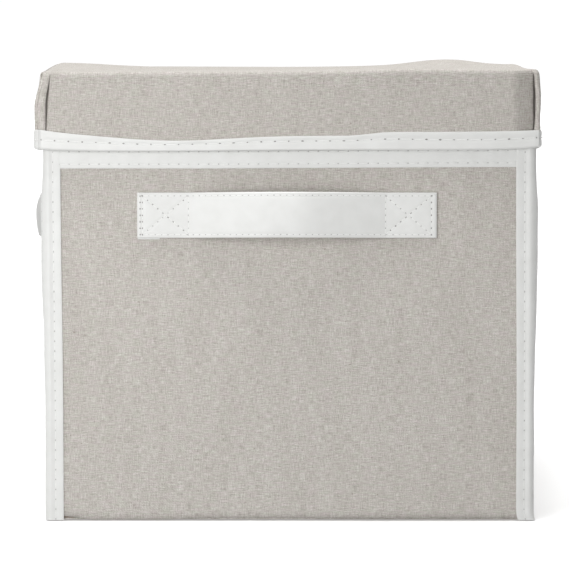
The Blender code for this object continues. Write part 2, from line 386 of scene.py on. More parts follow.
# painted shade: the needle holes are flat dark discs on the tape, for the shade inside each hole; the fine
# ones are lighter
NEEDLE_HOLE_SHADE = new_material("needle_hole", Specular_IOR_Level=0.1,
                           build=plain_nodes(1800, (0.22, 0.215, 0.205), (0.40, 0.395, 0.38), 0.8, 0.05 * MM))
FINE_HOLE_SHADE = new_material("fine_needle_hole", Specular_IOR_Level=0.1,
                         build=plain_nodes(1800, (0.38, 0.375, 0.365), (0.56, 0.555, 0.545), 0.8, 0.05 * MM))
LINING = new_material("lining_fabric", lining_nodes, Sheen_Weight=0.08, Specular_IOR_Level=0.2)
FIBREBOARD = new_material("fibreboard", fibreboard_nodes, Specular_IOR_Level=0.2)
FLOOR = new_material("white_floor", plain_nodes(3, (0.86,) * 3, (0.88,) * 3, 0.9, 0.02 * MM),
                     Specular_IOR_Level=0.1, Emission_Color=(1, 1, 1, 1), Emission_Strength=0.12)


# ---- stitching

def ball(around, along):
    """Points and faces of a ball of radius 1 with few faces."""
    shape = bmesh.new()
    bmesh.ops.create_uvsphere(shape, u_segments=around, v_segments=along, radius=1.0)
    points = np.array([vertex.co for vertex in shape.verts])
    # Blender's own order of these faces changes from run to run.
    faces = sorted([vertex.index for vertex in face.verts] for face in shape.faces)
    shape.free()
    return points, faces


STITCH = ball(6, 6)
HOLE = ball(6, 4)
THREAD_WIDTH = 0.55 * MM
HOLE_WIDTH = 0.78 * MM
SEAM_PITCH = 5.6 * MM


def on_path(values, distance, at):
    """The place on a path, or the direction there, at one distance along it."""
    return np.array([np.interp(min(at, distance[-1]), distance, values[:, axis]) for axis in range(3)])


def sew(name, rows, hole_material=FINE_HOLE_SHADE, hole_width=HOLE_WIDTH):
    """One piece with all stitches of some rows.

    A row is (points, normals, pitch) on the face that it is sewn to, then True if its holes are torn wide.
    """
    points, faces, kinds = [], [], []
    count = 0
    random = np.random.default_rng(hash_seed(name))

    def place(shape, kind, centre, turn, sizes):
        nonlocal count
        corners, sides = shape
        points.append(centre + (corners * sizes) @ turn)
        faces.extend([index + count for index in side] for side in sides)
        kinds.extend([kind] * len(sides))
        count += len(corners)

    for path, normals, pitch, *torn in rows:
        torn = any(torn)
        stretch = 1.3 if torn else 1.0
        distance = np.concatenate([[0.0], np.cumsum(np.linalg.norm(np.diff(path, axis=0), axis=1))])
        number = max(1, int(distance[-1] / pitch))
        pitch = distance[-1] / number
        for i in range(number + 1):
            at = i * pitch
            hole, after, middle = [on_path(path, distance, at + shift) for shift in (0.0, pitch, pitch / 2)]
            normal = on_path(normals, distance, at + pitch / 2)
            along = after - hole if i < number else path[-1] - path[-2]
            along = along / np.linalg.norm(along)
            normal = normal - along * normal.dot(along)
            normal /= np.linalg.norm(normal)
            turn = np.array([np.cross(normal, along), normal, along])
            wide, long = [hole_width / 2 * random.uniform(0.7, most) * stretch for most in (1.2, 1.6)]
            # a flat dark disc as painted shade in the needle hole, darker where it is torn wide
            place(HOLE, 1 + torn, hole + normal * 0.02 * MM, turn, (wide, 0.07 * MM, long))
            if i < number:
                length = (pitch - hole_width * 0.7) / 2
                place(STITCH, 0, middle + normal * 0.06 * MM, turn, (THREAD_WIDTH / 2, 0.20 * MM, length))
    materials = [THREAD, hole_material] + [NEEDLE_HOLE_SHADE] * (max(kinds) > 1)
    return add_piece(name, np.concatenate(points), faces, None, materials, material_index=kinds)


def grid_row(points, row, pitch, outward):
    """A row of stitches along a grid of points. row is its place along the grid's second axis, in steps."""
    row = np.broadcast_to(row, len(points))
    below = np.floor(row).astype(int)
    share = (row - below)[:, None]
    each = np.arange(len(points))
    path = points[each, below] * (1 - share) + points[each, below + 1] * share
    beside = points[each, below + 1] - points[each, below - 1]
    normals = np.cross(np.gradient(path, axis=0), beside)
    normals /= np.linalg.norm(normals, axis=1)[:, None]
    if (normals * outward(path)).sum() < 0:
        normals = -normals
    return path, normals, pitch


def nearest(places, wanted):
    """The column of a grid that is nearest to each wanted place."""
    return [int(np.abs(places[0] - place).argmin()) for place in wanted]


# ---- the bin's walls

WALL_SLACK = 4.5 * MM      # how far the side walls belly out behind their corners
SLACK_ONSET = 14 * MM


def side_belly(from_corner, z):
    """How far a side wall stands out, by distance from its nearer corner. The handle holds it flat again."""
    held = 1 - 0.85 * smooth(from_corner, 42 * MM, 92 * MM)
    off_corner = 1 - fade(np.maximum(from_corner, 0), SLACK_ONSET)
    return WALL_SLACK * off_corner * held * smooth(z, 0.060, 0.150) * (1 - smooth(z, 0.176, 0.209))


def front_hem(x):
    """Height of the front panel's lower edge, which the left corner seam draws up."""
    lifted = 1.9 * MM * (1 - smooth(x, -0.1290, -0.1120)) + 0.9 * MM * smooth(x, -0.075, -0.050)
    return 0.35 * MM + lifted


def make_panels():
    """The four outer panels and the bottom."""
    pieces = {}
    for seed, (side, (sign_x, sign_y)) in enumerate(SIDES.items()):
        half = (PANEL_Y if sign_x else PANEL_X) - PANEL_THICKNESS
        face = PANEL_X if sign_x else PANEL_Y
        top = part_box(f"{side}_panel")[1].z
        along = finer_at_ends(-half, half, 30 * MM, 1.5 * MM, 3.0 * MM)[:, None]
        share = finer_at_ends(0.0, 1.0, 0.04, 0.005, 0.0125)[None, :]
        hem = front_hem(along) if side == "front" else 0.6 * MM
        z = hem + (top - hem) * share
        out = face + 0.22 * MM * ripple(along, z, 0.11, seed) * smooth(half - np.abs(along), 0, 20 * MM)
        if sign_x:
            out = out + side_belly(TAPE_Y - np.abs(along), z)
        out = out - 1.1 * MM * fade(z - hem, 1.3 * MM)
        # painted shade along the lower edge, where the cloth rounds under
        weave = stacked(along + 0.7 * seed, z, 0.30 * fade(z - hem, 0.8 * MM))
        piece = grid_piece(f"{side}_linen", on_wall(side, along, out, z), weave, LINEN,
                           facing(sign_x, sign_y, 0), PANEL_THICKNESS)
        pieces[side] = finish_piece(piece, "bin", "linen", f"{side}_panel")
    half_x, half_y, _, _ = reach("bottom_panel")
    x = finer_at_ends(-half_x, half_x, 4 * MM, 0.8 * MM, 5 * MM)[:, None]
    y = finer_at_ends(-half_y, half_y, 4 * MM, 0.8 * MM, 5 * MM)[None, :]
    rim = np.minimum(half_x - np.abs(x), half_y - np.abs(y))
    slack = 0.20 * MM * (1 + ripple(x, y, 0.12, 9)) * smooth(rim, 0, 25 * MM)
    z = 0.25 * MM + slack + 0.5 * MM * fade(rim, MM)
    piece = grid_piece("bottom_linen", stacked(x, y, z), stacked(x + 3.3, y, 0.0), LINEN, facing(0, 0, -1),
                       0.9 * MM)
    pieces["bottom"] = finish_piece(piece, "bin", "linen", "bottom_panel")
    return pieces


BEND_RADIUS = 2.3 * MM
CORNER_ROW = 4.8 * MM      # from the middle of the corner to the line of stitches, along the tape
CORNER_REACH = math.pi * BEND_RADIUS / 4 + TAPE_WIDTH - TAPE_THICKNESS / 2 - BEND_RADIUS


def corner_section(across):
    """The folded tape's middle line: x and y back from the corner, and the outward direction."""
    turn = np.clip(across / BEND_RADIUS, -math.pi / 4, math.pi / 4)
    straight = np.maximum(np.abs(across) - math.pi * BEND_RADIUS / 4, 0)
    angle = math.pi / 4 + turn
    inset = BEND_RADIUS + TAPE_THICKNESS / 2
    back_x = inset - BEND_RADIUS * np.sin(angle) + straight * (across < 0)
    back_y = inset - BEND_RADIUS * np.cos(angle) + straight * (across > 0)
    return back_x, back_y, np.sin(angle), np.cos(angle)


def tape_relief(across, along, rows, half_width):
    """How a sewn tape's face rises and sinks: drawn in along its stitches and proud between them."""
    pull = 0.16 + 0.10 * np.cos(2 * math.pi * along / SEAM_PITCH)
    relief = 0.0
    for row in rows:
        relief = relief - MM * pull * bell(across, row, 1.0 * MM)
    return relief - 0.20 * MM * fade(np.maximum(half_width - np.abs(across), 0), 0.45 * MM)


def corner_shift(sign_x, back_x, z):
    """Sideways lean of a corner seam: the bin is a little wider at its mouth than at its foot."""
    lean = smooth(z, 0.055, 0.205)
    share = np.clip(back_x / TAPE_WIDTH, 0, 1)
    if sign_x < 0:
        return -(0.2 + (0.6 + 0.4 * share) * lean - 0.2 * share) * MM
    return (0.4 * lean * (1 - share) - 0.9 * lean * share) * MM


def make_corner_bindings():
    rows = (-CORNER_ROW, CORNER_ROW)
    outward = away_from(0, 0, 0.12)
    for front_back, sign_y in (("front", -1), ("back", 1)):
        for left_right, sign_x in (("left", -1), ("right", 1)):
            name = f"{front_back}_{left_right}_corner_binding"
            _, _, foot, top = reach(name)
            across = spaced(-CORNER_REACH, CORNER_REACH, 0.5 * MM)[None, :]
            z = spaced(foot, top, 0.75 * MM)[:, None]
            back_x, back_y, out_x, out_y = corner_section(across)
            relief = tape_relief(across, z, rows, CORNER_REACH)
            relief = relief + 0.30 * MM * bell(np.abs(across), 2.1 * MM, 1.1 * MM)
            relief = relief + 0.10 * MM * ripple(across, z, 0.035, hash_seed(name))
            height = TAPE_THICKNESS / 2 + relief
            flare = 1.3 * MM * fade(z - foot, 2.2 * MM) * smooth(-across, -6 * MM, 0) * (sign_x > 0)
            x = TAPE_X - back_x + out_x * height
            x = x + side_belly(back_y, z) * smooth(across, -BEND_RADIUS, BEND_RADIUS) + flare
            y = TAPE_Y - back_y + out_y * height
            points = stacked(sign_x * x + corner_shift(sign_x, back_x, z), sign_y * y, z)
            # painted shadow along both edges of the tape
            painted_shade = 0.10 * fade(CORNER_REACH - np.abs(across), 0.5 * MM)
            weave = stacked(across + 5 * sign_x, z + 3 * sign_y, painted_shade)
            tape = grid_piece(f"{name}_tape", points, weave, LEATHER, outward, TAPE_THICKNESS)
            finish_leather(tape, "bin", name)
            seams = [grid_row(points[1:-1], column, SEAM_PITCH, outward) for column in nearest(across, rows)]
            finish_leather(sew(f"{name}_stitches", seams), "bin")


TRIM_ROWS = (2.7 * MM, 9.5 * MM)   # above the trim tape's lower edge


def make_trim_tapes():
    for side, (sign_x, sign_y) in SIDES.items():
        name = f"{side}_trim_tape"
        _, _, bottom, top = reach(name)
        start, end = span(side, name)
        front = side == "front"    # this one reaches under the corner bindings and climbs to the right
        along = spaced(start - 2.0 * MM * front, end + 0.3 * MM * front, 0.8 * MM)[:, None]
        lean = 0.8 * MM * smooth(along, -0.06, 0.13) * front
        width = top - bottom
        up = spaced(0, width, 0.5 * MM)[None, :]
        relief = sum(tape_relief(up - row, along, (0.0,), 10 * MM) for row in TRIM_ROWS)
        relief = relief - 0.25 * MM * fade(np.minimum(up, width - up), 0.4 * MM)
        relief = relief + 0.12 * MM * ripple(along, up, 0.030, 31)
        points = on_wall(side, along, (TAPE_X if sign_x else TAPE_Y) + relief, bottom + lean + up)
        outward = facing(sign_x, sign_y, 0)
        # painted shade along the tape's lower edge
        tape = grid_piece(f"{side}_trim", points, stacked(along, up + 7, 0.12 * fade(up, 0.5 * MM)), LEATHER,
                          outward, TAPE_THICKNESS)
        finish_leather(tape, "bin", name)
        seams = [grid_row(points, column, SEAM_PITCH, outward) for column in nearest(up, TRIM_ROWS)]
        finish_leather(sew(f"{side}_trim_stitches", seams), "bin")


# ---- tapes folded over an edge

def rectangle_path(half_x, half_y, radius, pitch):
    """Points round a rectangle with rounded corners, each with its outward direction: x, y, out_x, out_y."""
    rows = []
    inner_x, inner_y = half_x - radius, half_y - radius
    corners = [(inner_x, -inner_y, -90), (inner_x, inner_y, 0),
               (-inner_x, inner_y, 90), (-inner_x, -inner_y, 180)]
    turn = max(4, round(math.pi / 2 * (radius + 4 * MM) / pitch))
    for (x, y, start), (next_x, next_y, _) in zip(corners, corners[1:] + corners[:1]):
        for step in range(turn):
            angle = math.radians(start + 90 * step / turn)
            out_x, out_y = math.cos(angle), math.sin(angle)
            rows.append((x + radius * out_x, y + radius * out_y, out_x, out_y))
        angle = math.radians(start + 90)
        out_x, out_y = math.cos(angle), math.sin(angle)
        first = np.array((x + radius * out_x, y + radius * out_y))
        last = np.array((next_x + radius * out_x, next_y + radius * out_y))
        number = max(2, round(float(np.linalg.norm(last - first)) / pitch))
        rows.extend((*(first + (last - first) * step / number), out_x, out_y) for step in range(number))
    return np.array(rows).T


def folded_section(leg, width, pitch, depth=0.9 * MM):
    """A tape folded over an edge: distance along it, share from outer to inner leg, height above the fold.

    The legs are leg long, and the fold between them is half an ellipse, width across and depth deep.
    """
    straight = leg - depth
    arc = width + depth
    along = spaced(0, 2 * straight + arc, pitch)
    turn = np.clip((along - straight) / arc, 0, 1) * math.pi
    share = (1 - np.cos(turn)) / 2
    rise = depth * (1 - np.sin(turn))
    rise = rise + np.maximum(straight - along, 0) + np.maximum(along - straight - arc, 0)
    return along, share, rise


def folded_ring(outer_x, outer_y, thickness, width, leg):
    """A tape folded over the edge of a box whose outer faces are at outer_x and outer_y.

    Gives the fold's inner line as rectangle_path does, the distance round it, and the section across it.
    """
    inner_x, inner_y = outer_x - thickness / 2 - width, outer_y - thickness / 2 - width
    line = rectangle_path(inner_x, inner_y, 0.35 * MM, 0.8 * MM)
    step = np.hypot(*[np.diff(part, append=part[0]) for part in line[:2]])
    round_it = np.concatenate([[0.0], np.cumsum(step)[:-1]])
    section = folded_section(leg, width, 0.5 * MM)
    return [part[:, None] for part in line], round_it[:, None], [part[None, :] for part in section]


def add_ring(name, body, replaced, line, out, z, weave, width, thickness):
    """Adds a folded tape from how far out and how high its points are. Gives its grid, closed, to sew on."""
    x, y, out_x, out_y = line
    points = stacked(x + out_x * out, y + out_y * out, z)
    middle = stacked(x + out_x * width / 2, y + out_y * width / 2, 0.0)[:, 0]
    middle = np.repeat((middle + np.roll(middle, -1, 0)) / 2, points.shape[1] - 1, 0)
    tape = grid_piece(name, points, weave, LEATHER, lambda centres: (centres - middle) * (1, 1, 0), thickness,
                      closed=True)
    finish_leather(tape, body, replaced)
    return np.concatenate([points, points[:1]])


def hem_line(x, y):
    """Height of the lid's lower edge and of its tape's upper edge, above their means. Both hang in waves."""
    front = smooth(-y, HEM_Y - 60 * MM, HEM_Y - 8 * MM)
    corner = np.hypot(HEM_X - np.abs(x), HEM_Y - np.abs(y))
    right = smooth(x, 0.030, 0.060)
    sag = (-0.5 * (1 - right) - 2.9 * bell(x, -0.066, 0.043)) * MM * front
    other = 0.5 * MM * ripple(x, y, 0.22, 5) * (1 - front) * smooth(corner, 10 * MM, 60 * MM)
    drawn = np.where((x > 0) & (y < 0), 2.2, 1.4) * MM
    lower = other + (0.7 * smooth(x, -0.10, 0.04) - 0.1) * MM * front + drawn * fade(corner, 14 * MM)
    raised = np.where((x < 0) & (y < 0), 3.9, 1.2) * MM
    upper = sag + other + 1.6 * MM * right * front + raised * fade(corner, 22 * MM)
    return lower, upper


EDGE_ROW = 3.3 * MM        # from a folded tape's edge to its stitches
LID_PITCH = 7.8 * MM
LID_TAPE = 0.5 * MM        # thickness
HEM_LEG = 9.3 * MM         # height of the lid's tape above its fold
HEM_GAP = 0.8 * MM         # how far the tape's fold stays above its CAD solid's lower edge
HEM_CLEARANCE = 0.4 * MM   # to the bin's edges
HEM_PUSH = {-1: 1.4 * MM, 1: -0.8 * MM}    # how far out the hem hangs on the left and on the right
MOUTH_WIDTH = 5.9 * MM     # across the fold over the bin's mouth


def lid_seam(x, y):
    """How far below the tape's upper edge the stitches run: the edge wanders more than they do."""
    front = smooth(-y, HEM_Y - 60 * MM, HEM_Y - 8 * MM)
    left_corner = np.hypot(HEM_X + x, HEM_Y + y)
    return EDGE_ROW + 1.6 * MM * fade(left_corner, 40 * MM) + 0.8 * MM * smooth(x, 0.030, 0.100) * front


def make_lid_binding():
    width = HEM_X - TAPE_X - HEM_CLEARANCE - LID_TAPE
    line, round_it, (along, share, rise) = folded_ring(HEM_X, HEM_Y, LID_TAPE, width, HEM_LEG)
    x, y, out_x, out_y = line
    outer = smooth(1 - share, 0.0, 1.0)
    place = x + out_x * width, y + out_y * width
    lower, upper = hem_line(*place)
    seam_at = lid_seam(*place)
    climb = np.clip(rise / HEM_LEG, 0, 1)
    z = HEM_LOW + HEM_GAP + lower * (1 - climb) + upper * climb + rise
    z = z - LID_TAPE / 2 * np.sin(math.pi * share)
    pucker = 0.5 + 0.5 * np.cos(2 * math.pi * round_it / LID_PITCH)
    relief = -(0.10 + 0.22 * pucker) * MM * bell(along, seam_at, 1.1 * MM) - 0.25 * MM * fade(along, 0.5 * MM)
    relief = relief + 0.16 * MM * ripple(round_it, along, 0.030, 17) * smooth(along, 0, 3 * MM)
    relief = relief + 0.22 * MM * ripple(round_it, along * 0, 0.16, 23)
    push = np.where(out_x < -0.5, HEM_PUSH[-1], np.where(out_x > 0.5, HEM_PUSH[1], 0.0)) * outer
    out = width * (1 - share) + relief * outer + push + LID_TAPE / 2 * (1 - 2 * share)
    # painted shade: the whole tape a little darker, and more so along its upper edge under the cover
    weave = stacked(round_it, along + 11, 0.04 + 0.05 * fade(along, 0.4 * MM))
    ring = add_ring("lid_hem_tape", "lid", "lid_binding", line, out, z, weave, width, LID_TAPE)
    columns = np.interp(seam_at[:, 0], along[0], np.arange(along.shape[1]))
    seam = grid_row(ring, np.append(columns, columns[:1]), LID_PITCH, away_from(0, 0, 0.215))
    finish_leather(sew("lid_hem_stitches", [seam], NEEDLE_HOLE_SHADE, 1.0 * MM), "lid")


def make_mouth_binding():
    half_x, half_y, low, high = reach("mouth_binding")
    leg = high - low - TAPE_THICKNESS / 2
    line, round_it, (along, share, rise) = folded_ring(half_x, half_y, TAPE_THICKNESS, MOUTH_WIDTH, leg)
    rows = (EDGE_ROW, along[0, -1] - EDGE_ROW)
    pull = -(0.10 + 0.08 * np.cos(2 * math.pi * round_it / SEAM_PITCH)) * MM
    relief = sum(pull * bell(along, row, MM) for row in rows)
    out = MOUTH_WIDTH * (1 - share) + (relief + TAPE_THICKNESS / 2) * (1 - 2 * share)
    z = high - TAPE_THICKNESS / 2 - rise + TAPE_THICKNESS / 2 * np.sin(math.pi * share)
    ring = add_ring("mouth_tape", "bin", "mouth_binding", line, out, z, stacked(round_it, along + 13, 0.0),
                    MOUTH_WIDTH, TAPE_THICKNESS)
    outward = away_from(0, 0, 0.245)
    seams = [grid_row(ring, column, SEAM_PITCH, hint) for column, hint in
             zip(nearest(along, rows), (outward, lambda path: -outward(path)))]
    finish_leather(sew("mouth_stitches", seams), "bin")


# ---- covers with folded-down sides

def rounded_cover(half_x, half_y, high, radius, xs, ys, zs, squareness=2.0):
    """A cloth laid over a box and folded down its sides.

    Gives its points on the box and with rounded folds, their places in the flat cloth, and the faces.
    """
    up, column_x, column_y = zs[None, :], xs[:, None], ys[:, None]
    blocks = [(stacked(column_x, ys[None, :], high), stacked(column_x, ys[None, :]))]
    for sign in (-1, 1):
        blocks.append((stacked(column_x, sign * half_y, up), stacked(column_x, sign * (half_y + high - up))))
        blocks.append((stacked(sign * half_x, column_y, up), stacked(sign * (half_x + high - up), column_y)))
    faces, count = [], 0
    for place, _ in blocks:
        faces.append(grid_faces(*place.shape[:2]) + count)
        count += place.shape[0] * place.shape[1]
    points, flat = [np.concatenate([part.reshape(-1, part.shape[-1]) for part in parts])
                    for parts in zip(*blocks)]
    _, first, back = np.unique(np.round(points, 7), axis=0, return_index=True, return_inverse=True)
    points, flat, faces = points[first], flat[first], back.reshape(-1)[np.concatenate(faces)]
    core = np.stack([np.clip(points[:, 0], radius - half_x, half_x - radius),
                     np.clip(points[:, 1], radius - half_y, half_y - radius),
                     np.minimum(points[:, 2], high - radius)], -1)
    arm = points - core
    sideways = np.hypot(arm[:, 0], arm[:, 1])
    size = (sideways ** squareness + np.abs(arm[:, 2]) ** squareness) ** (1 / squareness)
    return points, core + arm * (radius / np.maximum(size, 1e-9))[:, None], flat, faces


ROLL = 2.6 * MM            # radius of the lid's folds
# Edges of the slit beside a front or back flap, from the lid's corner: its flap side, then its corner side.
LEFT_SLIT, RIGHT_SLIT = (6.3 * MM, 5.3 * MM), (5.4 * MM, 4.4 * MM)
SLIT_TOP = 2.2 * MM        # how far under the top the slit ends
TURNED_IN = 11.2 * MM      # length of the front flap's right end that turns in, past the end of its board
LINING_HEM = 1.6 * MM      # how far the lid's lining ends above its skirt


def slit_edges(x):
    """Distances from the lid's corner to both edges of the slit on that side."""
    return [np.where(x < 0, left, right) for left, right in zip(LEFT_SLIT, RIGHT_SLIT)]


def turned_in(x, y):
    """0 along a flap's board and 1 at the free end of the front flap, on its right."""
    flap_end = LID_X - RIGHT_SLIT[0]
    return np.clip(1 - (flap_end - x) / TURNED_IN, 0, 1) * (y < 0)


def lid_top_rise(x, y):
    """How far the top cloth stands off its board: raised along both sides, with a hump at the rear right."""
    off_side, off_end = LID_X - np.abs(x), LID_Y - np.abs(y)
    edge = bell(off_side, 0, np.where(x < 0, 38 * MM, 20 * MM))
    edge = edge * bell(y, np.where(x < 0, -0.02, 0.005), 0.115)
    hump = bell(x, 0.106, np.where(x < 0.106, 36 * MM, 26 * MM)) * bell(y, 0.098, 42 * MM)
    crown = smooth(off_end, 0, 70 * MM) * smooth(off_side, 0, 60 * MM)
    front = 1.5 + 0.9 * smooth(x, 0.010, 0.070) - 0.7 * smooth(-x, 0.080, 0.130)
    front = front * MM * smooth(-y, 0.05, LID_Y)
    slack = 0.35 * MM * ripple(x, y, 0.12, 41) * smooth(off_side, 0, 25 * MM)
    return (np.where(x < 0, 5.2, 4.2) * edge + 5.4 * hump + 1.5 * crown) * MM + front + slack


def shape_lid(box, rounded):
    """Gives the lid's cover its slack, from its points on the plain box and with rounded folds."""
    x, y, z = rounded.T
    box_x, box_y, box_z = box.T
    side_x, side_y = np.sign(box_x), np.sign(box_y)
    on_left = box_x < 0
    off_side = np.abs(box_x)
    on_end = np.abs(np.abs(box_y) - LID_Y) < ON_FACE
    on_side = np.abs(off_side - LID_X) < ON_FACE
    below = 1 - smooth(z, LID_TOP - 7 * MM, LID_TOP - 2 * MM)
    lower, upper = hem_line(box_x, box_y)
    on_skirt = 1 - smooth(z, LID_LOW, LID_TOP - 12 * MM)
    new_z = z + (lower + 0.9 * MM) * on_skirt + lid_top_rise(x, y) * smooth(z, LID_TOP - 9 * MM, LID_TOP)

    # the whole side leans
    near = smooth(-y, 0.100, 0.185)
    at_side = smooth(np.abs(x), LID_X - 12 * MM, LID_X - 3 * MM)
    lean_left = 0.9 * MM - (2.0 + 1.2 * near) * MM * smooth(z, 0.237, 0.256)
    lean_right = 0.6 * MM - 2.2 * MM * ((z - 0.240) / 0.0165) ** 2 * (z > 0.240)
    lean_right = lean_right - 1.0 * MM * ((z - 0.240) / 0.0200) ** 2 * (z <= 0.240)
    new_x = x + side_x * at_side * np.where(on_left, lean_left, lean_right)

    # its face alone is fuller or tighter near the front
    at_face = smooth(np.abs(x), LID_X - 3.0 * MM, LID_X - 0.5 * MM) * near
    fuller_left = 0.8 * MM * (1 - smooth(z, 0.234, 0.247))
    tighter_right = -0.9 * MM * smooth(z, 0.2215, 0.2270)
    new_x = new_x + side_x * at_face * np.where(on_left, fuller_left, tighter_right)

    # both edges of a slit curl in, and the flap's end closes it above and below
    flap_side, corner_side = slit_edges(box_x)
    to_slit = LID_X - flap_side - off_side
    past_slit = off_side - (LID_X - corner_side)
    flap = on_end & (to_slit > -1e-7)
    beyond = on_end & (past_slit > -1e-7)
    curl = 0.4 * MM * fade(to_slit, 0.7 * MM) + 1.5 * MM * turned_in(box_x, box_y)
    new_y = y - side_y * np.where(flap, curl * below, 0.0)
    new_y = new_y - side_y * np.where(beyond, 0.8 * MM * fade(past_slit, 0.7 * MM) * below, 0.0)
    closing = (1 - bell(box_z, 0.239, 0.011)) * (1 - smooth(box_z, LID_TOP - 2.5 * MM, LID_TOP - 1.2 * MM))
    new_x = new_x + side_x * 0.9 * MM * closing * np.where(flap, fade(np.maximum(to_slit, 0), 6 * MM), 0.0)

    # the skirt bows, and is drawn in under its hem
    tape_top = HEM_LOW + HEM_GAP + HEM_LEG + upper
    in_hem = 1 - smooth(new_z, tape_top - 3.0 * MM, tape_top - 0.4 * MM)
    bow = 0.30 * MM * ripple(box_x + box_y, box_z, 0.09, 43) * below
    flat_part = smooth(LID_X - off_side, 6 * MM, 20 * MM)
    new_y = new_y + side_y * (bow * (1 - in_hem) * flat_part - 0.7 * MM * in_hem) * on_end
    side_bow = 0.5 * MM * ripple(box_y, box_z, 0.12, 47) * below
    new_x = new_x + side_x * (side_bow * (1 - in_hem) - 0.7 * MM * in_hem) * on_side

    # but not further in than the board behind it
    over_board = on_side & (np.abs(box_y) < LID_Y - 6 * MM) & (box_z < LID_TOP - 9 * MM)
    new_x = np.where(over_board, side_x * np.maximum(np.abs(new_x), LID_X - 0.72 * MM), new_x)
    return np.stack([new_x, new_y, new_z], -1)


def make_lid_cover():
    xs = finer_at_ends(-LID_X, LID_X, 13 * MM, 0.55 * MM, 3.0 * MM,
                       *[edge - LID_X for edge in LEFT_SLIT], *[LID_X - edge for edge in RIGHT_SLIT],
                       LID_X - RIGHT_SLIT[0] - TURNED_IN)
    ys = finer_at_ends(-LID_Y, LID_Y, 13 * MM, 0.65 * MM, 3.4 * MM)
    fold = LID_TOP - 9 * MM
    zs = np.concatenate([spaced(LID_LOW, fold, 1.4 * MM)[:-1], spaced(fold, LID_TOP, 0.55 * MM)])
    box, rounded, flat, faces = rounded_cover(LID_X, LID_Y, LID_TOP, ROLL, xs, ys, zs, squareness=2.5)

    def from_corner(places):
        """Distance from the lid's corner, both edges of the slit there, and whether a place is on an end."""
        on_end = np.abs(np.abs(places[:, 1]) - LID_Y) < ON_FACE
        return LID_X - np.abs(places[:, 0]), *slit_edges(places[:, 0]), on_end

    centres = box[faces].mean(1)
    corner, flap_side, corner_side, on_end = from_corner(centres)
    slit = on_end & (corner < flap_side) & (corner > corner_side) & (centres[:, 2] < LID_TOP - SLIT_TOP)
    corner, flap_side, corner_side, on_end = from_corner(box)
    # the strip past a slit belongs to the side's cloth, which turns round the corner
    turned = on_end & (np.abs(box[:, 0]) > LID_X - corner_side - 1e-7)
    flat[turned, 0] = (np.sign(box[:, 0]) * (LID_X + LID_TOP - box[:, 2]))[turned]
    flat[turned, 1] = (np.sign(box[:, 1]) * (LID_Y + corner))[turned]
    to_slit = np.minimum(np.abs(corner - flap_side), np.abs(corner - corner_side))
    at_slit = on_end & (box[:, 2] < LID_TOP - SLIT_TOP + MM)
    on_flap = on_end & (np.abs(box[:, 0]) < LID_X - flap_side)
    # painted shade: dark at the slits' edges, darker on the front flap's turned-in end, and a little over all
    # the cloth but the strips past the slits, which so stand out lighter
    painted_shade = 0.055 * ~turned + 0.55 * fade(to_slit, 0.25 * MM) * at_slit
    painted_shade = painted_shade + 0.22 * smooth(turned_in(box[:, 0], box[:, 1]), 0.0, 0.15) * on_flap
    weave = np.concatenate([flat + 20.0, painted_shade[:, None]], 1)
    cover = add_piece("lid_linen", shape_lid(box, rounded), faces[~slit], weave, [LINEN],
                      away_from(0, 0, 0.20), 0.7 * MM)
    return finish_piece(cover, "lid", "linen", "lid_cover")


def make_plain_cover(name, replaced, body, thickness, seed, hem=0.0):
    """A cloth laid over a box, as the base board's cover and the lid's lining are."""
    half_x, half_y, low, high = reach(replaced)
    xs, ys = [finer_at_ends(-half, half, 6 * MM, 0.6 * MM, 4 * MM) for half in (half_x, half_y)]
    zs = spaced(low, high, 0.5 * MM)
    if high - low > 5 * MM:
        fold = high - 3 * MM
        zs = np.concatenate([spaced(low, fold, 2 * MM)[:-1], spaced(fold, high, 0.5 * MM)])
    box, points, flat, faces = rounded_cover(half_x, half_y, high, 1.0 * MM, xs, ys, zs)
    x, y, z = points.T.copy()
    rim = np.minimum(half_x - np.abs(x), half_y - np.abs(y))
    soft = 0.18 * MM * (ripple(x, y, 0.10, seed) - 1) * smooth(rim, 2 * MM, 30 * MM)
    painted_shade = np.zeros(len(x))
    if hem:
        lifted, _ = hem_line(box[:, 0], box[:, 1])
        soft = soft + (lifted + hem) * (1 - smooth(z, low, high - 12 * MM))
        pulled = 0.8 * MM * smooth(turned_in(box[:, 0], box[:, 1]), 0, 0.3) * (y < 4 * MM - half_y)
        points[:, 1] += pulled * (1 - smooth(z, high - 6 * MM, high))
        # painted shade on the lining's ends near its corners, which show through the slits
        painted_shade = 0.8 * smooth(np.abs(x), half_x - 9 * MM, half_x - 6 * MM)
        painted_shade = painted_shade * (np.abs(points[:, 1]) > half_y - 2 * MM)
    points[:, 2] += soft
    weave = np.concatenate([flat + seed, painted_shade[:, None]], 1)
    cover = add_piece(name, points, faces, weave, [LINING], away_from(0, 0, low), thickness)
    return finish_piece(cover, body, "lining_fabric", replaced)


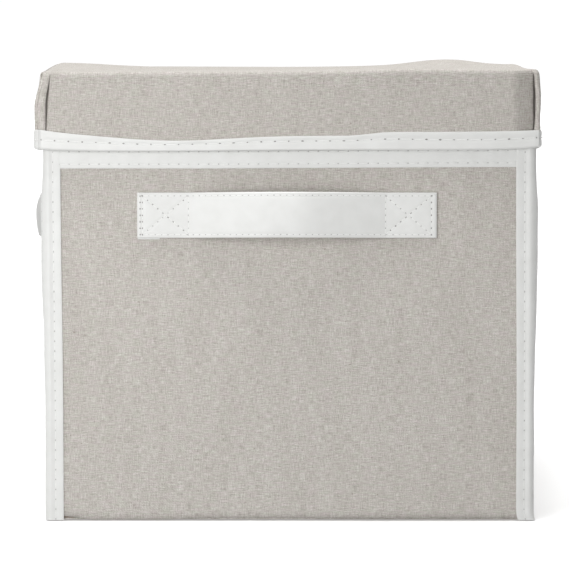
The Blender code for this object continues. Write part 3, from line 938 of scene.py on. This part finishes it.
def make_wall_linings():
    pieces = {}
    for seed, (side, (sign_x, sign_y)) in enumerate(SIDES.items()):
        name = f"{side}_lining"
        low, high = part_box(name)
        start, end = span(side, name)
        outer = max(abs(low.x), abs(high.x)) if sign_x else max(abs(low.y), abs(high.y))
        along = spaced(start, end, 4 * MM)[:, None]
        z = spaced(low.z, high.z, 4 * MM)[None, :]
        to_end = np.minimum(along - start, end - along)
        slack = 0.25 * MM * (1 + ripple(along, z, 0.10, 60 + seed))
        inner = outer - 0.55 * MM - slack * smooth(np.minimum(to_end, high.z - z), 4 * MM, 30 * MM)
        # painted shade at the foot and at both ends of each lining, in the bin's inner corners
        painted_shade = 0.25 * fade(z - low.z, 4 * MM) + 0.12 * fade(to_end, 3 * MM)
        weave = stacked(along + seed, z + 30, painted_shade)
        piece = grid_piece(f"{name}_cloth", on_wall(side, along, inner, z), weave, LINING,
                           facing(-sign_x, -sign_y, 0), 0.5 * MM)
        pieces[side] = finish_piece(piece, "bin", "lining_fabric", name)
    return pieces


# ---- strap handles

STRAP_WIDTH = 26.0 * MM
STRAP_THICKNESS = 1.8 * MM
PATCH_FROM, STRAP_END = 57.5 * MM, 85.0 * MM    # along the strap, from its middle
GRIP_END = 28.0 * MM
BOW_POWER = 1.25
STRAP_PITCH = 3.5 * MM
# The box of stitches on a patch: its two ends along the strap, and half its width.
PATCH_BOX = (PATCH_FROM - 1.7 * MM, STRAP_END - 3.0 * MM), STRAP_WIDTH / 2 - 2.0 * MM
# Side: (bow from the wall, how far the strap's edges curl back in its middle).
STRAPS = {"front": (12.0 * MM, 0.7 * MM), "left": (17.8 * MM, 3.4 * MM), "right": (12.0 * MM, 2.0 * MM)}


def strap_middle(side, along, across):
    """Points on the middle surface of a strap, along and across it from its centre."""
    bow, cup = STRAPS[side]
    name = f"{side}_handle_grip"
    _, _, low, high = reach(name)
    on_side = SIDES[side][0] != 0
    place = along + sum(span(side, name)) / 2
    z = (low + high) / 2 + across
    seat = (PANEL_X if on_side else PANEL_Y) + 0.3 * MM + STRAP_THICKNESS / 2
    free = np.cos(math.pi / 2 * np.clip(along / PATCH_FROM, -1, 1)) ** BOW_POWER
    wall = side_belly(TAPE_Y - np.abs(place), z) * on_side
    curl = cup * free * (across / (STRAP_WIDTH / 2)) ** 2
    curl = curl * np.where((side == "left") & (across < 0), 0.4, 1.0)
    slack = 0.42 * MM * ripple(along, 0.4 * across, 0.036, 70 + hash_seed(side)) * free
    out = seat + wall * (1 - free) + bow * free - curl + slack
    return on_wall(side, place, out, z + 0.9 * MM * free * (side == "front"))


def strap_frame(side, along, across):
    """Points and outward directions of a strap's middle surface."""
    step = 0.1 * MM
    ahead = strap_middle(side, along + step, across) - strap_middle(side, along - step, across)
    above = strap_middle(side, along, across + step) - strap_middle(side, along, across - step)
    normal = np.cross(ahead, above)
    normal /= np.linalg.norm(normal, axis=-1, keepdims=True)
    out = np.array((*SIDES[side], 0.0))
    return strap_middle(side, along, across), normal * np.sign((normal * out).sum(-1, keepdims=True))


def strap_relief(along, across):
    """The sewn patch's face: drawn in along its box of stitches and its cross."""
    (near, far), top = PATCH_BOX
    a = np.abs(along)
    lines = sum(bell(a, edge, 0.7 * MM) for edge in (near, far)) * smooth(top + MM - np.abs(across), 0, MM)
    slope = top / ((far - near) / 2)
    for sign in (-1, 1):
        cross = bell(across - sign * slope * (a - (near + far) / 2), 0, 0.8 * MM)
        lines = lines + cross * ((a > near - MM) & (a < far + MM))
    return -0.22 * MM * np.clip(lines + bell(np.abs(across), top, 0.7 * MM), 0, 1.2)


def patch_lines():
    """The stitched lines of one patch: a box, its cross, the strap's edges and a second line at the end.

    Each has its two ends, as (along, across), and whether its holes are torn wide.
    """
    (near, far), top = PATCH_BOX
    return [((near, -top), (near, top), False), ((far, -top), (far, top), True),
            ((near, -top), (far, top), True), ((near, top), (far, -top), True),
            ((0.0, top), (far, top), False), ((0.0, -top), (far, -top), False),
            ((far + 1.3 * MM, -top), (far + 1.3 * MM, top), True)]


def make_strap_half(side, end, sign):
    """Half of a strap: from its middle, over the neck, to the end of the sewn patch."""
    name = f"{side}_strap_{end}"
    neck_end = PATCH_FROM - 2 * MM
    stops = np.concatenate([spaced(0, neck_end, 1.5 * MM), spaced(neck_end, STRAP_END, 0.6 * MM)])
    along = sign * np.unique(np.round(stops, 7))[:, None]
    thick = STRAP_THICKNESS / 2
    edge = STRAP_WIDTH / 2 - thick
    face = spaced(-edge, edge, 0.75 * MM)
    turn = np.linspace(-math.pi / 2, math.pi / 2, 6)[1:-1]
    loop = np.array([(v, 1.0) for v in face]
                    + [(edge + thick * math.cos(a), -math.sin(a)) for a in turn]
                    + [(v, -1.0) for v in face[::-1]]
                    + [(-edge - thick * math.cos(a), math.sin(a)) for a in turn])
    across, lift = loop[None, :, 0], loop[None, :, 1]
    middle, normal = strap_frame(side, *np.broadcast_arrays(along, across))
    relief = strap_relief(along, across) * (lift > 0.5)
    end_round = 0.5 * MM * fade(STRAP_END - np.abs(along), 0.5 * MM) * (lift > 0)
    points = middle + normal * (lift * thick + relief - end_round)[..., None]
    points = points.transpose(1, 0, 2)
    columns, rows = points.shape[:2]
    first = np.arange(columns) * rows
    faces = [*grid_faces(columns, rows, closed=True), first, (first + rows - 1)[::-1]]
    # painted shade on the left strap's free part, reaching further on its front half
    shade_reach = (42 if sign < 0 else 20) * MM
    left_strap_shade = 0.34 * np.exp(-((along.T / shade_reach) ** 4)) * (side == "left")
    weave = stacked(along.T + 40 + hash_seed(side), across.T, left_strap_shade)
    piece = add_piece(name, points, faces, weave, [LEATHER])
    shape = bmesh.new()
    shape.from_mesh(piece.data)
    bmesh.ops.recalc_face_normals(shape, faces=shape.faces)
    shape.to_mesh(piece.data)
    shape.free()
    soften(piece)
    rows_of_stitches = []
    for first, last, torn in patch_lines()[:7 if sign < 0 else 6]:
        share = np.linspace(0, 1, max(3, round(math.dist(first, last) / (0.8 * MM))))
        a = sign * (first[0] + (last[0] - first[0]) * share)
        b = first[1] + (last[1] - first[1]) * share
        path, outwards = strap_frame(side, a, b)
        path = path + outwards * (thick + strap_relief(a, b))[:, None]
        rows_of_stitches.append((path, outwards, STRAP_PITCH, torn))
    return piece, sew(f"{name}_stitches", rows_of_stitches)


def make_handles():
    for side in STRAPS:
        sign_x, _ = SIDES[side]
        axis = 1 if sign_x else 0
        for end, sign in zip(("front", "back") if sign_x else ("left", "right"), (-1, 1)):
            strap, stitches = make_strap_half(side, end, sign)
            start, stop = [strap_middle(side, np.array(sign * place), np.array(0.0)) for place in
                           (PATCH_FROM, GRIP_END)]
            flat_stop = start.copy()
            flat_stop[axis] = stop[axis]
            for piece in (strap, stitches):
                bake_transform(piece)
            nodes = [f"{side}_handle_{end}_patch", f"{side}_handle_{end}_neck"]
            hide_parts(*nodes, *([f"{side}_handle_grip"] if sign < 0 else []))


def make_turned_end():
    """The strap's end is folded under, and the front one's fold shows as a sliver below its left patch."""
    low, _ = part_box("front_handle_left_patch")
    edge = low.z - 0.75 * MM
    x = spaced(low.x + 0.2 * MM, low.x + 12.8 * MM, 0.8 * MM)[:, None]
    z = spaced(edge, low.z + 8 * MM, 0.4 * MM)[None, :]
    out = PANEL_Y + 1.0 * MM - 0.35 * MM * fade(z - edge, 0.4 * MM)
    piece = grid_piece("front_strap_left_turned_end", on_wall("front", x, out, z), stacked(x + 50, z, 0.0),
                       LEATHER, facing(0, -1, 0), 0.7 * MM)
    finish_leather(piece, "bin")


# ---- the object

panels = make_panels()
make_corner_bindings()
make_trim_tapes()
make_mouth_binding()
make_lid_binding()
lid_linen = make_lid_cover()
lid_lining = make_plain_cover("lid_lining_cloth", "lid_lining", "lid", 0.3 * MM, 3, LINING_HEM)
base_cover = make_plain_cover("base_board_cloth", "base_board_cover", "base_board", 0.5 * MM, 6)
linings = make_wall_linings()
make_handles()
make_turned_end()

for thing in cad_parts.values():
    if not thing.hide_render:
        thing.data.materials.clear()
        thing.data.materials.append(FIBREBOARD)


# ---- floor, light and camera

def add_object(name, data, location, rotation):
    thing = bpy.data.objects.new(name, data)
    bpy.context.scene.collection.objects.link(thing)
    thing.location = location
    thing.rotation_euler = rotation
    return thing


def make_floor():
    places = spaced(-14.0, 14.0, 1.0)
    x, y = places[:, None], places[None, :]
    floor = grid_piece("floor", stacked(x, y, -0.25 * MM), stacked(x, y, 0.0), FLOOR, facing(0, 0, 1))
    floor.visible_diffuse = False    # so that its white doesn't light the bin from below


def make_world():
    """Soft light, most of it from above and behind. The backdrop itself is white."""
    world = bpy.data.worlds.new("studio")
    bpy.context.scene.world = world
    world.use_nodes = True
    tree = world.node_tree
    across, depth, up = axes(tree, node(tree, "TexCoord", output="Generated"), "XYZ")
    overhead = maths(tree, "POWER", maths(tree, "MAXIMUM", up, 0.0), 2.0)
    level = weighted(tree, 0.25, (across, -0.06), (overhead, 0.40), (maths(tree, "POWER", across, 2.0), 0.10),
                     (maths(tree, "MINIMUM", depth, 0.0), -0.08), (maths(tree, "MAXIMUM", depth, 0.0), 0.38),
                     (maths(tree, "LESS_THAN", up, 0.0), 0.30))
    seen = node(tree, "LightPath", output="Is Camera Ray")
    strength = node(tree, "Mix", {0: seen, 2: level, 3: 1.02}, data_type="FLOAT")
    set_inputs(tree, tree.nodes["Background"], {"Strength": strength, "Color": (1.0, 1.0, 1.0, 1.0)})


def add_light(name, kind, location, target, energy, **settings):
    data = bpy.data.lights.new(name, kind)
    data.energy = energy
    for setting, value in settings.items():
        setattr(data, setting, value)
    x, y, z = np.array(target) - np.array(location)
    light = add_object(name, data, location, (math.atan2(math.hypot(x, y), -z), 0.0, -math.atan2(x, y)))
    light.visible_camera = False


def make_camera():
    data = bpy.data.cameras.new("camera")
    data.sensor_width = 36.0
    data.lens = 212.2
    data.clip_end = 60.0
    distance, height, degrees_down = 1.905, 0.275, 4.2
    camera = add_object("camera", data, (-0.0028, -TAPE_Y - distance, height),
                        (math.radians(90 - degrees_down), 0.0, 0.0))
    bpy.context.scene.camera = camera


make_floor()
make_world()
add_light("overhead", "SUN", (-0.10, -0.05, 3.4), (0, 0, 0.1), 2.9, angle=math.radians(35))
add_light("key", "AREA", (-0.24, -0.72, 0.24), (0.0, -0.15, 0.12), 2.15, shape="SQUARE", size=0.4)
make_camera()
settings = bpy.context.scene.view_settings
settings.view_transform = "Standard"
settings.look = "None"
settings.exposure = 0.0
